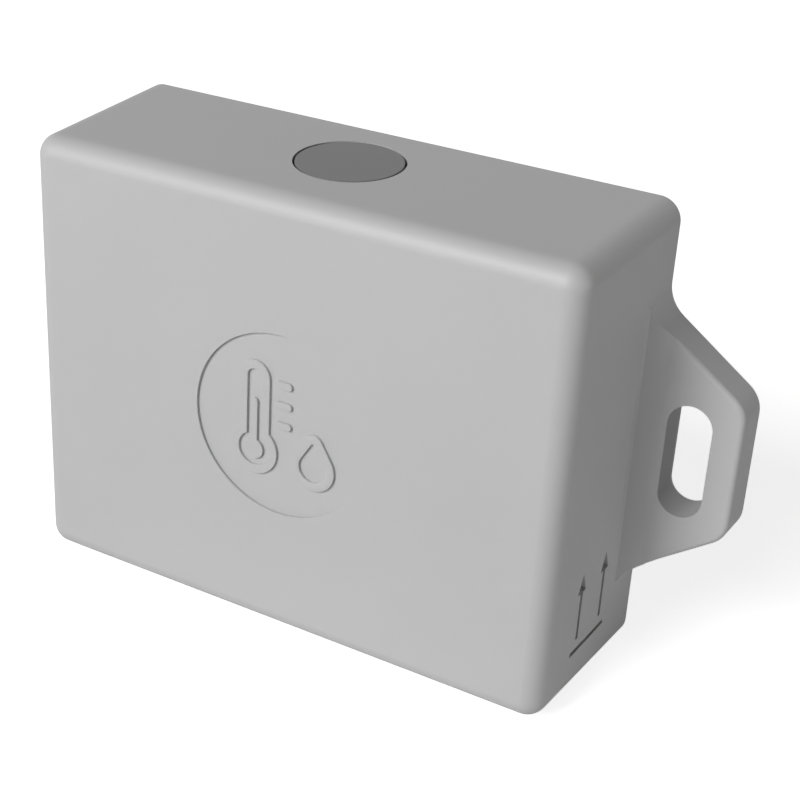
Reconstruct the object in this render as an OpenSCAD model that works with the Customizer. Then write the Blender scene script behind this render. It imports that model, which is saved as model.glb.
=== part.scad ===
// Wireless environmental sensor: a sealed box that hangs on a wall by two slotted ears.
// The front faces -Y, the back plane faces +Y, and the lower wall stands on z = 0 at the back.

/* [Body] */
// Width over the side walls at the back plane
body_w = 82; // [80:1:100]
// Height over the top and bottom walls at the back plane
body_h = 65; // [64:1:80]
// Depth from the front face to the back plane
body_d = 27; // [26.5:0.5:34]
// Thickness of the housing's walls
wall = 2.4; // [2.2:0.1:2.7]
// Draft of the four side walls in degrees
draft = 2.4; // [1:0.1:3]
// Radius of the front edges and of the four corners
edge_r = 3; // [2.8:0.1:4]
// Diameter of the round field sunk into the front face
field_dia = 26; // [16:1:34]
// Depth of the round field
field_depth = 0.4; // [0.2:0.1:0.8]

/* [Mounting ears] */
// How far each ear reaches past the side wall
ear_reach = 13.65; // [12.5:0.05:18]
// Thickness of an ear
ear_t = 5.3; // [4:0.1:7]
// Height of an ear where it leaves the wall
ear_root_h = 38; // [34:0.5:44]
// Height of an ear at its outer end
ear_tip_h = 18.5; // [16:0.5:22]
// Radius of an ear's outer corners
ear_corner_r = 4.2; // [3:0.1:5]
// Radius of the hollow where an ear's edge runs into the wall
ear_root_r = 5; // [3:0.5:6]
// Radius of an ear's front edges
ear_edge_r = 0.7; // [0.5:0.05:1.6]
// Radius of the hollow between an ear's front and the wall
ear_front_r = 3; // [2.6:0.1:4]
// How far that hollow climbs the wall
ear_front_rise = 2.2; // [1.5:0.1:2.4]
// Width of an ear's slot
slot_w = 6; // [4:0.5:7]
// Length of an ear's slot
slot_l = 16; // [10:0.5:18]
// From an ear's outer end to the middle of its slot
slot_inset = 7.1; // [6:0.1:8]

/* [Button] */
// Diameter of the button
button_dia = 15; // [12:0.5:15.5]
// Gap around the button in its guide
button_gap = 0.2; // [0.1:0.05:0.3]
// Gap between the collar around the button and the rear cover
collar_cover_gap = 0.25; // [0.15:0.05:1]
// How far the button goes in
button_travel = 0.6; // [0.3:0.1:0.8]
// Thickness of the button's top
button_top_t = 1.5; // [1:0.1:2]
// Thickness of the button's side wall
button_wall = 1.3; // [1:0.1:1.6]
// How far the button's flange reaches past its side
flange_w = 0.75; // [0.5:0.05:1]
// Thickness of the button's flange
flange_t = 1; // [0.8:0.1:1.4]
// Diameter of the button's stem
stem_dia = 4; // [3:0.5:5]
// Depth of the button's guide under the top face
guide_depth = 2.7; // [2.5:0.1:3.2]
// Wall of the collar around the button's flange
collar_wall = 0.8; // [0.6:0.1:1]
// Thickness of the seal where it is clamped
seal_t = 0.8; // [0.6:0.1:1.2]
// Thickness of the plate that clamps the seal
retainer_t = 1.5; // [1.2:0.1:2]
// Diameter of the screws that hold the plate and the switch board
retainer_screw_dia = 2; // [1.6:0.1:2.2]

/* [Rear cover] */
// Thickness of the rear cover
cover_t = 2; // [1.8:0.1:2.4]
// Width of the housing's rim around the cover
rim_w = 1.2; // [1:0.1:1.4]
// Gap between the cover and the rim
cover_gap = 0.2; // [0.1:0.05:0.3]
// Thickness of the gasket under the cover
gasket_t = 0.6; // [0.4:0.1:1]
// Width of the gasket
gasket_w = 0.9; // [0.7:0.1:1]
// From the outer faces to the middle of a cover screw
screw_inset = 5.8; // [5.6:0.1:7]
// Diameter of a cover screw
screw_dia = 2.5; // [2:0.1:3]
// Length of a cover screw
screw_l = 10; // [8:0.5:14]
// Outer diameter of a cover screw's boss
boss_dia = 5.6; // [5.2:0.1:6.2]
// Depth of the cover's locating ribs
lip_h = 2; // [1:0.5:2.5]
// Thickness of the cover's locating ribs
lip_t = 1.2; // [0.8:0.1:1.6]

/* [Vent] */
// Diameter of one vent hole in the bottom wall
vent_dia = 1.4; // [1:0.1:1.6]
// Distance from the middle vent hole to the others
vent_ring_r = 2.4; // [2.2:0.1:2.6]
// Diameter of the membrane over the vent holes
membrane_dia = 8; // [7.2:0.1:8.4]
// Thickness of the membrane
membrane_t = 0.25; // [0.2:0.05:0.4]

/* [Circuit boards] */
// Thickness of both circuit boards
board_t = 1.6; // [1:0.1:1.6]
// Share of the free depth that lies between the front wall and the main board
board_share = 0.53; // [0.45:0.01:0.6]
// Gap between the main board and the side walls
board_side_gap = 2.7; // [2:0.1:3]
// Gap between the main board's upper and lower edges and what they face
board_edge_gap = 0.6; // [0.3:0.1:1]
// Height of the main board's strip under the battery holder
lower_strip_h = 4.6; // [4.4:0.1:5.4]
// Gap between a screw boss and the pieces around it
boss_gap = 0.7; // [0.4:0.1:1]
// Diameter of the main board's screws
board_screw_dia = 2; // [1.6:0.1:2.2]
// Distance between the pins of the header
pin_pitch = 2.54; // [2:0.01:2.54]
// Number of pins in the header
pin_count = 4; // [2:1:4]
// Side of a header pin
pin_side = 0.6; // [0.4:0.05:0.64]
// How far pins and contact tabs stand out of a board
pin_out = 0.8; // [0.5:0.1:1]
// Side of the square switch body
switch_side = 6; // [5:0.1:6.4]
// Height of the switch body
switch_h = 3.4; // [3:0.1:3.8]
// Diameter of the switch plunger
plunger_dia = 3.4; // [2.6:0.1:3.6]
// How far the switch plunger stands out
plunger_out = 1; // [0.8:0.1:1.4]
// Travel of the switch plunger
plunger_travel = 0.24; // [0.1:0.02:0.3]

/* [Cells] */
// Diameter of a cell over its sleeve
cell_dia = 14.2; // [13.7:0.1:14.5]
// Length of a cell with its positive cap
cell_l = 50.5; // [49.2:0.1:50.5]
// Height of the positive cap
cell_cap_h = 1.2; // [1:0.1:1.4]
// Gap between a cell and its bay
bay_gap = 0.25; // [0.2:0.05:0.3]
// Thickness of the holder's side walls and of the rib between the bays
bay_wall = 1.1; // [0.9:0.1:1.2]
// Thickness of the holder's end walls
end_wall = 1.2; // [1:0.1:1.3]
// Thickness of the holder's floor under a cell
bay_floor = 1.25; // [1:0.05:1.4]
// Thickness of the contact plates
contact_t = 0.4; // [0.3:0.05:0.5]
// Length of a contact spring with its cell in place
spring_l = 3; // [2.8:0.1:3.2]
// Diameter of the spring wire
spring_wire = 0.6; // [0.4:0.05:0.7]
// Turns of a contact spring
spring_turns = 2.5; // [2:0.5:3]

/* [Hidden] */

$fn = 64;
hull_fn = 48;
past = 1;
hair = 0.01;
fit = 0.05;
seat_gap = 0.1;
rib_t = 1.2;

front_y = -body_d / 2;
back_y = body_d / 2;
mid_z = body_h / 2;
lean = tan(draft);
square_on = 1 / cos(draft);

// How far a drafted wall is drawn in at depth y, and where the inner side and bottom walls lie there
function drawn_in(y) = (back_y - y) * lean;
function inner_half_w(y) = body_w / 2 - wall * square_on - drawn_in(y);
function inner_bottom_z(y) = wall * square_on + drawn_in(y);

// Rounded rectangle about the origin, as points
function rounded_box(w, h, r, steps = 8) = [
    for (c = [[1, 1, 0], [-1, 1, 90], [-1, -1, 180], [1, -1, 270]])
        for (i = [0:steps])
            [c[0] * (w / 2 - r) + r * cos(c[2] + 90 * i / steps),
             c[1] * (h / 2 - r) + r * sin(c[2] + 90 * i / steps)]
];

// Rear cover stack, from the back plane inwards
cover_in_y = back_y - cover_t;
seat_y = cover_in_y - gasket_t;
recess_w = body_w - 2 * rim_w;
recess_h = body_h - 2 * rim_w;
recess_r = edge_r - rim_w;
cover_w = recess_w - 2 * cover_gap;
cover_h = recess_h - 2 * cover_gap;
cover_r = recess_r - cover_gap;
screw_x = body_w / 2 - screw_inset;
screw_z = body_h / 2 - screw_inset;
head_dia = screw_dia * 1.88;
head_h = (head_dia - screw_dia) / 2;

// Button stack, from the top face downwards
flange_dia = button_dia + 2 * flange_w;
collar_bore = flange_dia + 6 * seat_gap;
collar_dia = collar_bore + 2 * collar_wall;
button_y = cover_in_y - collar_dia / 2 - collar_cover_gap;
button_top_z = body_h - drawn_in(button_y);
guide_z = button_top_z - guide_depth;
flange_top_z = guide_z - seat_gap;
flange_z = flange_top_z - flange_t;
collar_z = flange_z - button_travel - seat_gap;
seal_z = collar_z - seal_t;
stem_z = flange_z - 4 * seat_gap;
retainer_z = seal_z - retainer_t;
plunger_top_z = seal_z - 3 * seat_gap;
switch_top_z = plunger_top_z - plunger_out;
switch_board_top_z = switch_top_z - switch_h;
switch_board_z = switch_board_top_z - board_t;
retainer_boss_dia = 2.6 * retainer_screw_dia;
retainer_screw_x = collar_dia / 2 + boss_gap + retainer_boss_dia / 2;
retainer_half_w = retainer_screw_x + retainer_boss_dia / 2 + boss_gap / 2;
retainer_half_d = collar_dia / 2 - collar_wall;
retainer_head_h = 0.65 * retainer_screw_dia;
thread_depth = wall + 0.7 * retainer_screw_dia;

// Main board and the cells behind it share the depth
cell_r = cell_dia / 2;
bay_r = cell_r + bay_gap;
free_depth = body_d - wall - board_t - bay_floor - bay_r - cell_r - cover_t;
standoff_h = board_share * free_depth;
board_front_y = front_y + wall + standoff_h;
board_back_y = board_front_y + board_t;
board_w = 2 * (inner_half_w(board_front_y) - board_side_gap);
board_z = inner_bottom_z(board_front_y) + board_edge_gap;
board_top_z = switch_board_z - board_edge_gap;
board_screw_l = board_t + standoff_h + wall / 4;
board_screw_head_h = 0.65 * board_screw_dia;

// Battery holder and cells
bay_pitch = 2 * bay_r + bay_wall;
cell_y = board_back_y + bay_floor + bay_r;
contact_boss_h = 0.3;
bay_l = cell_l + contact_boss_h + 2 * contact_t + spring_l;
holder_l = bay_l + 2 * end_wall;
holder_h = bay_pitch + 2 * bay_r + 2 * bay_wall;
holder_z = board_z + lower_strip_h;
holder_mid_z = holder_z + holder_h / 2;
holder_top_z = holder_z + holder_h;
peg_dia = 2;
peg_x = 0.35 * holder_l;
tab_w = 2.2;
cell_zs = [holder_mid_z - bay_pitch / 2, holder_mid_z + bay_pitch / 2];

// Upper strip of the main board: its parts are laid out on a grid of 70 by 11 steps
upper_h = board_top_z - holder_top_z;
upper_z = (holder_top_z + board_top_z) / 2;
grid_x = board_w / 70;
grid_z = upper_h / 11;
module_x = -20.2 * grid_x;
module_w = 16 * grid_x;
module_h = 10 * grid_z;
module_t = board_t / 2;
shield_x = module_x + 1.6 * grid_x;
controller_x = 13 * grid_x;

// Strips beside the battery holder
margin_w = (board_w - holder_l) / 2;
margin_x = (board_w + holder_l) / 4;

// Screws of the main board as [x, z], each used on both sides
lower_screw = [21 * grid_x, board_z + lower_strip_h / 2];
upper_screw = [board_w / 2 - 1.7 * board_screw_dia, board_top_z - 4 * grid_z];
header_z = board_top_z - pin_pitch;
header_y = board_back_y + pin_pitch / 2;
vent_y = board_back_y + membrane_dia / 2 + 1;

plastic_grey = "#bebebe";
button_grey = "#777777";
steel = "#b9bbbd";
board_green = "#2f5d3a";
chip_black = "#26282a";

// Prism of a flat outline that is drawn in X and Z, between two depths
module along_y(y_lo, y_hi) {
    translate([0, y_hi, 0])
        rotate([90, 0, 0])
            linear_extrude(y_hi - y_lo)
                children();
}

// Cylinder along Y from one depth to another
module rod_y(dia, y_lo, y_hi) {
    along_y(y_lo, y_hi)
        circle(d = dia);
}

module both_sides() {
    children();
    mirror([1, 0, 0])
        children();
}

// Copies at the four cover screws
module at_cover_screws() {
    for (x = [-screw_x, screw_x])
        for (z = [mid_z - screw_z, mid_z + screw_z])
            translate([x, 0, z])
                children();
}

module at_board_screws() {
    for (place = [lower_screw, upper_screw])
        for (s = [-1, 1])
            translate([s * place[0], 0, place[1]])
                children();
}

module at_retainer_screws() {
    for (x = [-retainer_screw_x, retainer_screw_x])
        translate([x, button_y, 0])
            children();
}

// Round pad whose front rim is rounded, with its back at y = 0 and its front at y = -t
module rounded_pad(r, edge, t, fn = hull_fn) {
    rotate([90, 0, 0])
        rotate_extrude($fn = fn) {
            square([r - edge, t]);
            square([r, t - edge]);
            intersection() {
                translate([r - edge, t - edge])
                    circle(edge, $fn = fn);
                translate([r - edge, t - edge])
                    square(edge);
            }
        }
}

// Drafted box with rounded front edges and corners, set in by a wall
module body_form(inset) {
    r = max(edge_r - inset, 0.5);
    pad_y = front_y + inset + r;
    fn = inset > 0 ? 24 : hull_fn;
    hull()
        for (sx = [-1, 1])
            for (sz = [-1, 1]) {
                front_in = (inset + r) * square_on + drawn_in(pad_y);
                back_in = inset * square_on + r;
                translate([sx * (body_w / 2 - front_in), pad_y, mid_z + sz * (mid_z - front_in)])
                    rounded_pad(r - hair, r - hair, r, fn);
                translate([sx * (body_w / 2 - back_in), 0, mid_z + sz * (mid_z - back_in)])
                    along_y(back_y - hair, back_y)
                        circle(r, $fn = fn);
            }
}

// Ear outline: distances u are from the wall outwards, v from the ear's middle upwards
ear_angle = atan2((ear_root_h - ear_tip_h) / 2, ear_reach);
ear_drawn_in = ear_t * lean;
ear_front_y = back_y - ear_t;
root_v = ear_root_h / 2 - ear_root_r * tan(ear_angle) + ear_root_r / cos(ear_angle);
touch_u = ear_root_r * (1 - sin(ear_angle));
touch_v = root_v - ear_root_r * cos(ear_angle);
ear_inside_u = -wall * 0.6;
front_hollow_run = sqrt(pow(ear_front_r, 2) - pow(ear_front_r - ear_front_rise, 2));
function ear_edge_v(u) = ear_root_h / 2 - u * tan(ear_angle);
function ear_pad_v(u) = ear_edge_v(u) - ear_corner_r / cos(ear_angle);

// Convex part of an ear: its front edges are rounded, and the rounding fades out near the wall.
// Each place is given by the point where the corner circle there touches the sloping edge.
module ear_core() {
    fade_u = touch_u + 3;
    end_u = ear_reach - ear_corner_r * (1 - sin(ear_angle));
    ear_span(touch_u, 0.1, fade_u, ear_edge_r);
    ear_span(fade_u, ear_edge_r, end_u, ear_edge_r);
}

module ear_span(u_lo, edge_lo, u_hi, edge_hi) {
    hull()
        for (s = [-1, 1])
            for (place = [[u_lo, edge_lo], [u_hi, edge_hi]]) {
                u = place[0] - ear_corner_r * sin(ear_angle);
                translate([body_w / 2 + u, 0, mid_z + s * ear_pad_v(u)]) {
                    along_y(back_y - hair, back_y)
                        circle(ear_corner_r, $fn = hull_fn);
                    translate([-ear_drawn_in, back_y, 0])
                        rounded_pad(ear_corner_r, place[1], ear_t);
                }
            }
}

// Corner between the wall and an ear's sloping edge, filled up to a hollow round
module ear_root_outline() {
    difference() {
        polygon([
            [ear_inside_u, root_v],
            [ear_root_r, root_v],
            [touch_u, touch_v],
            [touch_u - 2 * sin(ear_angle), touch_v - 2 * cos(ear_angle)],
            [ear_inside_u, touch_v - 2 * cos(ear_angle)]
        ]);
        translate([ear_root_r, root_v])
            circle(ear_root_r);
    }
}

// Outline of an ear between the wall and the end of its front hollow, just inside the edge roundings there
module ear_wall_outline() {
    end_u = max(touch_u, front_hollow_run) + past;
    end_v = ear_edge_v(end_u) - ear_edge_r / 2;
    for (s = [0, 1])
        mirror([0, s])
            ear_root_outline();
    polygon([
        [ear_inside_u, touch_v],
        [touch_u, touch_v],
        [end_u, end_v],
        [end_u, -end_v],
        [touch_u, -touch_v],
        [ear_inside_u, -touch_v]
    ]);
}

// Hollow round between an ear's front and the wall, seen from above
module ear_front_outline() {
    wall_x = body_w / 2 - drawn_in(ear_front_y - ear_front_rise);
    difference() {
        translate([body_w / 2 + ear_inside_u, ear_front_y - ear_front_rise])
            square([wall_x + front_hollow_run - body_w / 2 - ear_inside_u, ear_front_rise + 0.5]);
        translate([wall_x + front_hollow_run, ear_front_y - ear_front_r])
            circle(ear_front_r);
    }
}

// Prism of an ear outline that leans with the side wall
module ear_prism(y_lo) {
    intersection() {
        translate([body_w / 2, back_y, mid_z])
            rotate([0, 0, -draft])
                along_y(y_lo - back_y - past, past)
                    children();
        translate([0, y_lo, 0])
            cube([body_w, back_y - y_lo, body_h]);
    }
}

module ear() {
    ear_core();
    ear_prism(ear_front_y)
        for (s = [0, 1])
            mirror([0, s])
                ear_root_outline();
    intersection() {
        ear_prism(ear_front_y - ear_front_rise)
            ear_wall_outline();
        linear_extrude(body_h)
            ear_front_outline();
    }
}

module ear_slot() {
    translate([body_w / 2 + ear_reach - slot_inset, 0, mid_z])
        along_y(ear_front_y - past, back_y + past) {
            square([slot_w, slot_l - slot_w], center = true);
            for (s = [-1, 1])
                translate([0, s * (slot_l - slot_w) / 2])
                    circle(d = slot_w);
        }
}

// Bosses for the cover screws, each tied to the walls by two ribs
module cover_bosses() {
    root_y = front_y + wall / 2;
    rib_d = seat_y - root_y - 0.4;
    rib_w = screw_inset - wall / 2 - drawn_in(front_y);
    at_cover_screws()
        rod_y(boss_dia, root_y, cover_in_y);
    for (sx = [-1, 1])
        for (sz = [-1, 1])
            translate([sx * screw_x, root_y, mid_z + sz * screw_z]) {
                mirror([sx > 0 ? 0 : 1, 0, 0])
                    translate([0, 0, -rib_t / 2])
                        cube([rib_w, rib_d, rib_t]);
                mirror([0, 0, sz > 0 ? 0 : 1])
                    translate([-rib_t / 2, 0, 0])
                        cube([rib_t, rib_d, rib_w]);
            }
}

// Posts under the main board, the lower ones tied to the bottom wall
module board_posts() {
    root_y = front_y + wall / 2;
    root_z = wall / 2 + drawn_in(front_y);
    at_board_screws()
        rod_y(2.6 * board_screw_dia, root_y, board_front_y);
    for (s = [-1, 1])
        translate([s * lower_screw[0] - rib_t / 2, root_y, root_z])
            cube([rib_t, board_front_y - root_y, lower_screw[1] - root_z]);
}

// Collar and bosses under the top wall that take the button, its seal and the retainer
module button_seat() {
    translate([0, button_y, collar_z])
        cylinder(d = collar_dia, h = button_top_z - wall / 2 - collar_z);
    at_retainer_screws()
        translate([0, 0, seal_z])
            cylinder(d = retainer_boss_dia, h = button_top_z - wall / 2 - seal_z);
}

// Everything above the top face, leaning with it
module above_top_face() {
    translate([-body_w / 2, back_y, body_h])
        rotate([draft, 0, 0])
            translate([0, -2 * body_d, 0])
                cube([body_w, 4 * body_d, body_d]);
}

module housing() {
    color(plastic_grey)
        difference() {
            union() {
                difference() {
                    union() {
                        body_form(0);
                        both_sides()
                            ear();
                    }
                    body_form(wall);
                }
                cover_bosses();
                button_seat();
                board_posts();
            }
            translate([0, 0, mid_z])
                along_y(seat_y, back_y + past)
                    difference() {
                        polygon(rounded_box(recess_w, recess_h, recess_r));
                        for (x = [-screw_x, screw_x])
                            for (z = [-screw_z, screw_z])
                                translate([x, z])
                                    circle(d = boss_dia);
                    }
            translate([0, 0, mid_z])
                along_y(cover_in_y, back_y + past)
                    polygon(rounded_box(recess_w, recess_h, recess_r));
            at_cover_screws()
                rod_y(screw_dia + 2 * fit, back_y - screw_l - 1, back_y);
            at_board_screws()
                rod_y(board_screw_dia + 2 * fit, board_back_y - board_screw_l - 0.3, board_back_y);
            translate([0, button_y, collar_z - past])
                cylinder(d = collar_bore, h = guide_z - collar_z + past);
            translate([0, button_y, guide_z - past])
                cylinder(d = button_dia + 2 * button_gap, h = guide_depth + 2 * past);
            at_retainer_screws()
                translate([0, 0, seal_z - past])
                    cylinder(d = retainer_screw_dia + 2 * fit, h = thread_depth + past);
            vent_holes();
            both_sides()
                ear_slot();
            translate([0, 0, mid_z])
                rod_y(field_dia, front_y - past, front_y + field_depth);
        }
}

// One hole in the middle and six around it
module vent_holes() {
    places = [[0, 0], for (i = [1:6]) [vent_ring_r * cos(60 * i), vent_ring_r * sin(60 * i)]];
    for (place = places)
        translate([place[0], vent_y + place[1], -past])
            cylinder(d = vent_dia, h = wall + body_d * lean + 2 * past, $fn = 32);
}

// Locating rib of the cover, on its inner face
module cover_rib(w, h) {
    translate([-w / 2, cover_in_y - lip_h, -h / 2])
        cube([w, lip_h + hair, h]);
}

module rear_cover() {
    rib_in = wall * square_on + drawn_in(cover_in_y - lip_h) + 0.3 + lip_t / 2;
    sink_d = head_h + 2 * fit;
    color(plastic_grey)
        difference() {
            union() {
                translate([0, 0, mid_z])
                    along_y(cover_in_y, back_y)
                        polygon(rounded_box(cover_w, cover_h, cover_r));
                both_sides()
                    translate([body_w / 2 - rib_in, 0, mid_z])
                        cover_rib(lip_t, body_h - 4 * screw_inset - 2);
                translate([0, 0, rib_in])
                    cover_rib(body_w - 5 * screw_inset, lip_t);
                both_sides()
                    translate([body_w / 4 - 2, 0, body_h - rib_in])
                        cover_rib(body_w / 5, lip_t);
            }
            at_cover_screws() {
                rod_y(screw_dia + 4 * fit, cover_in_y - past, back_y + past);
                translate([0, back_y - sink_d, 0])
                    rotate([-90, 0, 0])
                        cylinder(d1 = screw_dia, d2 = screw_dia + 2 * (sink_d + past), h = sink_d + past);
            }
        }
}

module cover_gasket() {
    outer_w = recess_w - 2 * seat_gap;
    outer_h = recess_h - 2 * seat_gap;
    outer_r = recess_r - seat_gap;
    inner_r = outer_r - gasket_w + 0.3;
    color("#3a3c3e")
        translate([0, 0, mid_z])
            along_y(seat_y, cover_in_y)
                difference() {
                    polygon(rounded_box(outer_w, outer_h, outer_r));
                    polygon(rounded_box(outer_w - 2 * gasket_w, outer_h - 2 * gasket_w, inner_r));
                }
}

// Countersunk screw with a cross recess
module cover_screws() {
    color(steel)
        at_cover_screws()
            difference() {
                union() {
                    rod_y(screw_dia, back_y - screw_l, back_y - head_h / 2);
                    translate([0, back_y - head_h, 0])
                        rotate([-90, 0, 0])
                            cylinder(d1 = screw_dia, d2 = head_dia, h = head_h);
                }
                for (turn = [0, 90])
                    rotate([0, turn, 0])
                        translate([-head_dia * 0.3, back_y - head_h * 0.7, -0.25])
                            cube([head_dia * 0.6, head_h, 0.5]);
            }
}

module button_cap() {
    inner_dia = button_dia - 2 * button_wall;
    under_top_z = button_top_z - button_top_t - button_dia / 2 * lean;
    color(button_grey)
        difference() {
            translate([0, button_y, 0])
                union() {
                    difference() {
                        union() {
                            translate([0, 0, flange_z])
                                cylinder(d = button_dia, h = body_h - flange_z);
                            translate([0, 0, flange_z])
                                cylinder(d = flange_dia, h = flange_t);
                        }
                        translate([0, 0, flange_z - past])
                            cylinder(d = inner_dia, h = under_top_z - flange_z + past);
                    }
                    translate([0, 0, stem_z])
                        cylinder(d = stem_dia, h = under_top_z - stem_z + hair);
                    for (turn = [0, 90])
                        rotate([0, 0, turn])
                            translate([-inner_dia / 2 - 0.2, -0.4, flange_z + 0.6])
                                cube([inner_dia + 0.4, 0.8, under_top_z - flange_z]);
                }
            above_top_face();
        }
}

// Silicone diaphragm: a clamped rim, a thin web and a thick middle under the stem
module button_seal() {
    rim_dia = collar_dia - 2 * seat_gap;
    web_t = seal_t * 0.6;
    color("#4a4c4e")
        translate([0, button_y, 0])
            difference() {
                union() {
                    translate([0, 0, seal_z])
                        cylinder(d = rim_dia, h = seal_t);
                    translate([0, 0, plunger_top_z])
                        cylinder(d = stem_dia + 1.2, h = stem_z - plunger_top_z);
                }
                translate([0, 0, seal_z + web_t])
                    rotate_extrude()
                        translate([stem_dia / 2 + 0.6, 0])
                            square([button_dia / 2 - 1.6 - stem_dia / 2, seal_t]);
            }
}

module seal_retainer() {
    color("#8c8f92")
        difference() {
            union() {
                translate([0, button_y, retainer_z])
                    linear_extrude(retainer_t)
                        polygon(rounded_box(2 * retainer_half_w, 2 * retainer_half_d, 2));
                at_retainer_screws()
                    translate([0, 0, switch_board_top_z])
                        cylinder(d = retainer_boss_dia, h = retainer_z - switch_board_top_z + hair);
            }
            translate([0, button_y, retainer_z - past])
                cylinder(d = switch_side * 1.8, h = retainer_t + 2 * past);
            at_retainer_screws()
                translate([0, 0, switch_board_top_z - past])
                    cylinder(d = retainer_screw_dia + 4 * fit, h = seal_z - switch_board_top_z + 2 * past);
        }
}

// Pan head screw that points up, with its head's underside at z = 0
module pan_screw(dia, length, head_h) {
    difference() {
        union() {
            cylinder(d = dia, h = length);
            translate([0, 0, -head_h])
                cylinder(d = dia * 1.9, h = head_h);
        }
        for (turn = [0, 90])
            rotate([0, 0, turn])
                translate([-dia * 0.55, -0.2, -head_h - past])
                    cube([dia * 1.1, 0.4, past + head_h * 0.55]);
    }
}

module retainer_screws() {
    length = seal_z + thread_depth - 0.3 - switch_board_z;
    color(steel)
        at_retainer_screws()
            translate([0, 0, switch_board_z])
                pan_screw(retainer_screw_dia, length, retainer_head_h);
}

module header_pin_holes() {
    for (i = [0:pin_count - 1])
        translate([(i - (pin_count - 1) / 2) * pin_pitch, 0])
            circle(d = pin_side * 1.414 + 4 * fit, $fn = 24);
}

module switch_board() {
    front_edge_y = header_y - 0.7 * pin_pitch;
    back_edge_y = button_y + retainer_half_d - collar_wall;
    color(board_green)
        translate([0, 0, switch_board_z])
            linear_extrude(board_t)
                difference() {
                    translate([0, (front_edge_y + back_edge_y) / 2])
                        polygon(rounded_box(2 * retainer_half_w, back_edge_y - front_edge_y, 1));
                    for (x = [-retainer_screw_x, retainer_screw_x])
                        translate([x, button_y])
                            circle(d = retainer_screw_dia + 4 * fit);
                    translate([0, header_y])
                        header_pin_holes();
                }
}

module tactile_switch() {
    leg_w = 0.7;
    color(chip_black)
        translate([0, button_y, switch_board_top_z])
            difference() {
                union() {
                    linear_extrude(switch_h)
                        polygon(rounded_box(switch_side, switch_side, 0.6, 3));
                    for (x = [-1, 1])
                        for (y = [-1, 1])
                            translate([x * (switch_side / 2 + 0.7), y * switch_side / 3, 0.125])
                                cube([1.6, leg_w, 0.25], center = true);
                }
                translate([0, 0, switch_h - 1.3])
                    cylinder(d = plunger_dia + 4 * fit, h = 1.3 + past);
            }
}

module switch_plunger() {
    sunk = 1.3 - plunger_travel - 3 * fit;
    color("#d8d4c8")
        translate([0, button_y, switch_top_z - sunk])
            cylinder(d = plunger_dia, h = sunk + plunger_out);
}

// Right-angle pins in a moulded block, from the main board up through the switch board
module board_header() {
    color(chip_black)
        translate([0, header_y, header_z])
            cube([pin_count * pin_pitch, pin_pitch, pin_pitch], center = true);
    color("#c9b46a")
        for (i = [0:pin_count - 1])
            translate([(i - (pin_count - 1) / 2) * pin_pitch - pin_side / 2, header_y, header_z]) {
                translate([0, board_front_y - pin_out - header_y, -pin_side / 2])
                    cube([pin_side, header_y - board_front_y + pin_out, pin_side]);
                translate([0, -pin_side / 2, 0])
                    cube([pin_side, pin_side, switch_board_top_z + pin_out - header_z]);
            }
}

module contact_tab_holes() {
    for (z = cell_zs)
        for (x = [-1, 1])
            translate([x * (bay_l / 2 - contact_t / 2), z])
                square([contact_t + 4 * fit, tab_w + 4 * fit], center = true);
}

module circuit_board() {
    tongue_w = 8;
    slit_w = 1;
    board_h = board_top_z - board_z;
    color(board_green)
        along_y(board_front_y, board_back_y)
            difference() {
                translate([0, board_z + board_h / 2])
                    polygon(rounded_box(board_w, board_h, 1.5));
                for (x = [-screw_x, screw_x])
                    translate([x, mid_z - screw_z])
                        circle(d = boss_dia + 2 * boss_gap);
                for (place = [lower_screw, upper_screw])
                    for (s = [-1, 1])
                        translate([s * place[0], place[1]])
                            circle(d = board_screw_dia + 4 * fit);
                for (x = [-peg_x, peg_x])
                    translate([x, holder_mid_z])
                        circle(d = peg_dia + 0.3);
                for (x = [-1, 1])
                    translate([x * (tongue_w + slit_w) / 2 - slit_w / 2, board_z - past])
                        square([slit_w, lower_strip_h - 0.4 + past]);
                translate([0, header_z])
                    header_pin_holes();
                contact_tab_holes();
            }
}

module board_screws() {
    color(steel)
        at_board_screws()
            translate([0, board_back_y, 0])
                rotate([90, 0, 0])
                    pan_screw(board_screw_dia, board_screw_l, board_screw_head_h);
}

// Copies on the back face of the main board, where z points away from the board
module on_board(x, z) {
    translate([x, board_back_y, z])
        rotate([-90, 0, 0])
            children();
}

// Flat chip with a dimple at its first pin
module chip(w, h, t) {
    difference() {
        linear_extrude(t)
            square([w, h], center = true);
        translate([-w / 2 + 0.8, h / 2 - 0.8, t - 0.1])
            cylinder(d = 0.6, h = past, $fn = 24);
    }
}

// Bent leads along both long sides of a chip
module leads(chip_w, count, pitch, reach, seat_h) {
    lead_t = 0.2;
    lead_w = 0.32 * pitch;
    inner_u = chip_w / 2 - 0.1;
    outer_u = chip_w / 2 + reach;
    for (s = [0, 1])
        mirror([s, 0, 0])
            for (i = [0:count - 1])
                translate([0, (i - (count - 1) / 2) * pitch + lead_w / 2, 0])
                    rotate([90, 0, 0])
                        linear_extrude(lead_w)
                            polygon([
                                [inner_u, seat_h], [outer_u - 0.6 * reach, seat_h],
                                [outer_u - 0.4 * reach, lead_t], [outer_u, lead_t],
                                [outer_u, 0], [outer_u - 0.55 * reach, 0],
                                [outer_u - 0.7 * reach, seat_h - lead_t], [inner_u, seat_h - lead_t]
                            ]);
}

module radio_module() {
    color("#234a7a")
        on_board(module_x, upper_z)
            linear_extrude(module_t)
                difference() {
                    square([module_w, module_h], center = true);
                    for (i = [-3:3])
                        translate([i * module_w / 10, module_h / 2])
                            circle(module_w / 40, $fn = 24);
                }
}

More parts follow.
